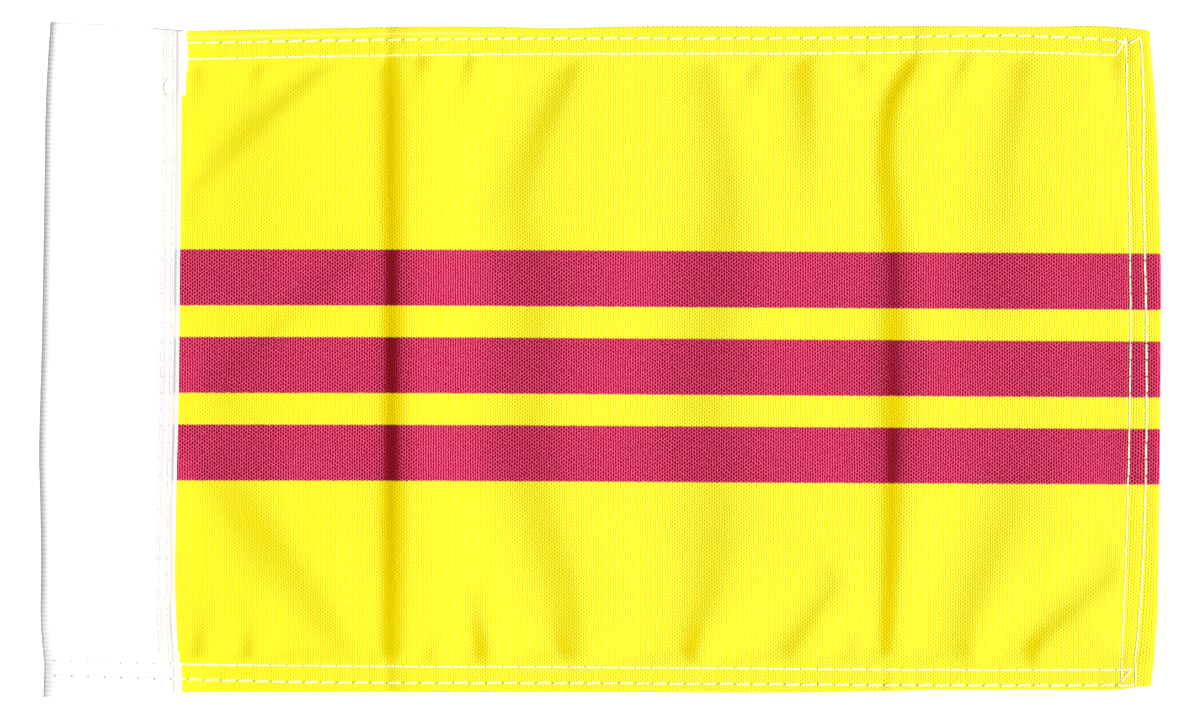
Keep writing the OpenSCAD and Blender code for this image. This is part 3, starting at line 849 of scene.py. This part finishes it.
def printedKnit():
    r = Recipe("printed warp knit", 0.9, 0.02)
    r.shader.inputs["Sheen Tint"].default_value = (1.0, 0.7, 0.3, 1.0)
    r.shader.inputs["Specular IOR Level"].default_value = 0.02
    flat, u, v = r.flatPlace("cloth")
    wobble = r.sum("MULTIPLY", r.sum("SUBTRACT", r.noise(flat, 260), 0.5), 0.0005)
    column = r.sum("COSINE", r.sum("MULTIPLY", r.sum("ADD", u, wobble), math.pi / knit["column"]))
    course = r.sum("COSINE", r.sum("MULTIPLY", r.sum("ADD", v, wobble), 2 * math.pi / knit["course"]))
    lattice = r.sum("MULTIPLY", column, course)
    uneven = r.sum("MULTIPLY", r.sum("SUBTRACT", r.noise(flat, 2200, 3), 0.5), 1.2)
    wale = r.sum("COSINE", r.sum("MULTIPLY", r.sum("ADD", u, wobble), 2 * math.pi / knit["column"]))
    lattice = r.sum("ADD", r.sum("MULTIPLY", lattice, 0.7), r.sum("MULTIPLY", wale, 0.32))
    # painted light: where the cloth faces the light (+X) the dark holes are painted out and only the ribs
    # show
    turned = r.ramp(r.facing(), -0.02, 0.13)
    turned = r.sum("MULTIPLY", turned, r.ramp(r.noise(flat, 45, 2), 0.3, 0.65, 0.5, 1.0))
    dots = r.ramp(r.sum("ADD", lattice, uneven), -0.6, 0.95)
    ribs = r.ramp(r.sum("ADD", r.sum("MULTIPLY", wale, 0.8), uneven), -1.0, 1.3, 0.0, 0.6)
    openMesh = r.sum("MULTIPLY", dots, r.sum("SUBTRACT", 1.0, turned))
    dots = r.sum("ADD", openMesh, r.sum("MULTIPLY", ribs, turned))
    jag = r.sum("MULTIPLY", r.sum("SUBTRACT", r.noise(flat, 1500), 0.5), 0.00035)
    stagger = r.sum("ADD", jag, r.sum("MULTIPLY", column, 0.00002))
    fromStripe = r.sum("ADD", v, knit["stripeOffset"])
    half = knit["stripePeriod"] / 2
    nearest = r.sum("ABSOLUTE", r.sum("WRAP", fromStripe, half, -half))
    edge, blur = knit["stripeHalf"], knit["stripeBlur"]
    printed = r.ramp(r.sum("ADD", nearest, stagger), edge - blur, edge + blur, 1.0, 0.0)
    end = knit["stripesEnd"]
    inside = r.ramp(r.sum("ABSOLUTE", fromStripe), end, end + blur, 1.0, 0.0)
    printed = r.sum("MULTIPLY", printed, inside)
    cloud = r.noise(flat, 70, 3)
    grain = r.noise(flat, 900, 3)
    clouded = r.sum("MULTIPLY", dots, r.ramp(cloud, 0.3, 0.75, 0.85, 1.0))
    yellow = r.mix(clouded, knit["yellow"], knit["deepYellow"])
    web = paleYarn(r, lattice, wale, uneven, 0.4, 0.6, 0.1)
    # painted light: the pale ribs are painted in where the cloth faces the light (+X) and faded where it
    # faces away
    web = r.sum("MULTIPLY", web, r.ramp(r.facing(), -0.22, -0.02, 0.2, 1.0))
    yellow = r.mix(web, yellow, knit["paleYellow"])
    # painted shade: the pale mesh on the crimson is dimmed where the cloth faces away from the light
    lit = r.ramp(r.facing(), -0.30, -0.1, 0.4, 1.0)
    mesh = paleYarn(r, lattice, wale, uneven, 0.85, 0.15, 0.15)
    mesh = r.mix(turned, r.sum("MULTIPLY", mesh, lit), web)
    left = r.ramp(u, -0.104, 0.02, 0.4, 0.0)
    yellow = r.mix(left, yellow, knit["warmYellow"])
    crimson = r.mix(dots, knit["crimson"], knit["deepCrimson"])
    crimson = r.mix(r.sum("MULTIPLY", mesh, 0.72), crimson, knit["paleCrimson"])
    # painted shade: where the cloth turns away from the light (-X) the colour is mixed towards deeper, more
    # saturated shaded tones, standing in for shade and bounced light in the folds
    shadedYellow = r.mix(r.ramp(r.facing(), -0.32, -0.08, 0.95, 0.0), yellow, knit["shadedYellow"])
    shadedCrimson = r.mix(r.ramp(r.facing(), -0.34, -0.17, 0.95, 0.0), crimson, knit["shadedCrimson"])
    colour = r.mix(printed, shadedYellow, shadedCrimson)
    # painted highlight: a pale line along the turned edge of the top hem
    ridge = r.ramp(r.sum("ABSOLUTE", r.sum("SUBTRACT", v, knit["hemEdgeHighlightV"])), 0.0001, 0.0003, 0.3, 0.0)
    ridge = r.sum("MULTIPLY", ridge, r.ramp(u, -0.035, -0.015, 1.0, 0.0))
    colour = r.mix(ridge, colour, knit["hemEdgeHighlight"])
    # painted shade: the needle holes along the hems and the fly are darkened as shade in the holes
    ends = needleHoles(r, u, v, knit["hemRowsV"], knit["stitchPitch"], False)
    fly = needleHoles(r, u, v, knit["flyRowsU"], knit["stitchPitch"], True)
    holes = r.sum("MULTIPLY", r.sum("MAXIMUM", ends, fly), 0.12)
    colour = r.mix(holes, colour, knit["needleHoleShade"])
    bump = r.sum("ADD", r.sum("MULTIPLY", dots, -0.7), r.sum("MULTIPLY", grain, 0.4))
    return r.finish(colour, bump, 0.45, 0.00012, r.ramp(grain, 0.2, 0.8, 0.8, 0.92))


ribbed = {
    "ribPitch": 0.00102,
    "yarnPitch": 0.00046,
    "ribValleyShade": (0.79, 0.785, 0.78),
    "ridge": (0.835, 0.83, 0.825),
    "cloud": (0.80, 0.785, 0.79),
    "overYellow": (0.70, 0.685, 0.645),
    "overStripe": (0.675, 0.65, 0.66),
    "edgeShade": (0.45, 0.38, 0.31),
    "edgeShadeStripe": (0.27, 0.235, 0.26),
    "edgeShadeTop": (0.30, 0.285, 0.295),
    "needleHoleShade": (0.40, 0.38, 0.38),
    "foldShade": (0.45, 0.44, 0.44),
    "stripeBlur": 0.0006,
}


def sleeveWeave():
    r = Recipe("white ribbed sleeve cloth", 0.8, 0.15)
    flat, u, v = r.flatPlace("cloth")
    x, y, z = r.place()[1:]
    rib = r.sum("COSINE", r.sum("MULTIPLY", v, 2 * math.pi / ribbed["ribPitch"]))
    fine = r.sum("COSINE", r.sum("MULTIPLY", u, 2 * math.pi / ribbed["yarnPitch"]))
    grain = r.noise(flat, 1300, 3)
    cloud = r.noise(flat, 60, 3)
    weave = r.sum("ADD", r.sum("MULTIPLY", rib, 0.6), r.sum("MULTIPLY", fine, 0.25))
    # the weave's ribs and yarns, with painted shade: the valleys between the ribs are a little darker than
    # the ridges
    colour = r.mix(r.ramp(weave, -0.9, 0.9), ribbed["ribValleyShade"], ribbed["ridge"])
    colour = r.mix(r.ramp(cloud, 0.35, 0.7, 0.0, 0.35), colour, ribbed["cloud"])
    # what lies beneath shows faintly through the seam, painted in as a darker tint of the white that is
    # partly the panel's colour showing through and partly painted shade over the seam
    edge = r.sum("SUBTRACT", x, r.followed(y, sleeveEdge))
    over = r.sum("MULTIPLY", r.ramp(x, -0.1058, -0.1015), r.ramp(z, 0.0009, 0.0011))
    over = r.sum("MULTIPLY", over, r.ramp(edge, 0.0002, 0.0004, 1.0, 0.0))
    half = knit["stripePeriod"] / 2
    fromStripe = r.sum("ADD", y, knit["stripeOffset"])
    nearest = r.sum("ABSOLUTE", r.sum("WRAP", fromStripe, half, -half))
    blur = ribbed["stripeBlur"]
    striped = r.ramp(nearest, knit["stripeHalf"] - blur, knit["stripeHalf"] + blur, 1.0, 0.0)
    striped = r.sum("MULTIPLY", striped, r.ramp(r.sum("ABSOLUTE", fromStripe), 0.0288, 0.0294, 1.0, 0.0))
    beneath = r.mix(striped, ribbed["overYellow"], ribbed["overStripe"])
    tinted = r.sum("MULTIPLY", r.ramp(cloud, 0.3, 0.7, 0.75, 1.0), r.ramp(y, -0.068, -0.06, 0.35, 1.0))
    colour = r.mix(r.sum("MULTIPLY", over, tinted), colour, beneath)
    # a thin line of shade where the front ply ends on the layer below it
    line = r.sum("MULTIPLY", r.ramp(r.sum("ABSOLUTE", edge), 0.0001, 0.0004, 1.0, 0.0), over)
    shade = r.mix(striped, ribbed["edgeShade"], ribbed["edgeShadeStripe"])
    shade = r.mix(r.ramp(y, 0.055, 0.064), shade, ribbed["edgeShadeTop"])
    colour = r.mix(r.sum("MULTIPLY", line, 0.9), colour, shade)
    rows = [-sleeve["edgeRow"] * mm, -sleeve["hoistRow"] * mm]
    # painted shade: the needle holes of the two seam rows are darkened, patchy with the grain
    holes = needleHoles(r, y, edge, rows, knit["stitchPitch"], False)
    colour = r.mix(r.sum("MULTIPLY", holes, r.ramp(grain, 0.3, 0.7, 0.1, 0.6)), colour, ribbed["needleHoleShade"])
    # shade gathers between the ribs along the fold
    fromFold = r.sum("SUBTRACT", x, r.followed(y, sleeveFold))
    shade = r.sum("MULTIPLY", r.ramp(fromFold, 0.0004, 0.0022, 1.0, 0.0), r.ramp(rib, -0.8, 0.3, 1.0, 0.0))
    colour = r.mix(r.sum("MULTIPLY", shade, 0.3), colour, ribbed["foldShade"])
    bump = r.sum("ADD", weave, r.sum("MULTIPLY", grain, 0.6))
    return r.finish(colour, bump, 0.3, 0.00008, r.ramp(grain, 0.2, 0.8, 0.74, 0.88))


yarn = {
    "twistPitch": 0.0006,
    "overSleeve": (0.91, 0.905, 0.90),
    "hem": ((0.92, 0.92, 0.66), (0.90, 0.86, 0.40)),  # pale, deep
    "sleeve": ((0.93, 0.92, 0.91), (0.86, 0.85, 0.84)),
}


def twistedThread(name, pale, deep):
    r = Recipe(name, 0.55, 0.25)
    u, v = r.flatPlace("thread")[1:]
    along = r.sum("MULTIPLY", u, 2 * math.pi / yarn["twistPitch"])
    around = r.sum("MULTIPLY", v, 2 * math.pi * 2)
    twist = r.sum("ADD", along, around)
    strand = r.sum("SINE", twist)
    spot, x = r.place()[:2]
    grain = r.noise(spot, 1800, 2)
    share = r.ramp(r.sum("ADD", strand, r.sum("SUBTRACT", grain, 0.5)), -0.9, 0.4)
    colour = r.mix(share, deep, pale)
    # painted light: the thin thread takes its tint from light passing through it and bouncing off the cloth
    # under it, so it is painted whiter over the white sleeve
    colour = r.mix(r.ramp(x, -0.0962, -0.0948, 1.0, 0.0), colour, yarn["overSleeve"])
    return r.finish(colour, strand, 0.5, 0.00006, r.ramp(grain, 0.2, 0.8, 0.5, 0.68))


knitMaterial = printedKnit()
weaveMaterial = sleeveWeave()
hemThread = twistedThread("pale yellow thread", *yarn["hem"])
sleeveThread = twistedThread("white thread", *yarn["sleeve"])
panel.data.materials.append(knitMaterial)
sleeveCloth.data.materials.append(weaveMaterial)
for node, piece in threads.items():
    piece.data.materials.append(hemThread if node.startswith("hem") else sleeveThread)
print("materials mixed")

studio = {
    "sunFrom": (1.0, -0.13, 0.58),
    "sunStrength": 6.6,
    "sunAngle": 26,
    "sky": 0.35,
    "floorSize": 6.0,
    "floorColour": (0.83, 0.83, 0.83),
    "floorGlow": 0.8,
    "lens": 400,
    "frameWidth": 275.04,
    "aim": (-0.2, 0.0),
}


def makeFloor():
    bm = bmesh.new()
    bmesh.ops.create_grid(bm, x_segments=2, y_segments=2, size=studio["floorSize"] / 2)
    mesh = bpy.data.meshes.new("floor")
    bm.to_mesh(mesh)
    bm.free()
    floor = bpy.data.objects.new("floor", mesh)
    bpy.context.collection.objects.link(floor)
    r = Recipe("pale floor", 0.9, 0.0)
    spot = r.place()[0]
    pale = studio["floorColour"]
    floor.data.materials.append(r.finish(r.mix(r.noise(spot, 3), pale, tuple(c * 0.985 for c in pale))))
    r.shader.inputs["Emission Color"].default_value = (1, 1, 1, 1)
    r.shader.inputs["Emission Strength"].default_value = studio["floorGlow"]
    return floor


def makeLight():
    lamp = bpy.data.lights.new("soft key", "SUN")
    lamp.energy = studio["sunStrength"]
    lamp.angle = math.radians(studio["sunAngle"])
    key = bpy.data.objects.new("soft key", lamp)
    key.rotation_euler = Vector(studio["sunFrom"]).to_track_quat("Z", "Y").to_euler()
    bpy.context.collection.objects.link(key)
    world = bpy.data.worlds.new("studio")
    world.use_nodes = True
    world.node_tree.nodes["Background"].inputs["Color"].default_value = (1, 1, 1, 1)
    world.node_tree.nodes["Background"].inputs["Strength"].default_value = studio["sky"]
    bpy.context.scene.world = world
    bpy.context.scene.view_settings.view_transform = "Standard"


def makeCamera():
    data = bpy.data.cameras.new("camera")
    data.sensor_width = 36
    data.lens = studio["lens"]
    far = studio["frameWidth"] * mm * data.lens / data.sensor_width
    data.clip_start = 0.1
    data.clip_end = 10
    camera = bpy.data.objects.new("camera", data)
    camera.location = (studio["aim"][0] * mm, studio["aim"][1] * mm, far)
    bpy.context.collection.objects.link(camera)
    bpy.context.scene.camera = camera


makeFloor()
makeLight()
makeCamera()
print("studio lit")

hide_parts("flag_panel")
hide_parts("pole_sleeve")
for node, piece in threads.items():
    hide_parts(node)
for piece in [panel, sleeveCloth, *threads.values()]:
    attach(piece, root)
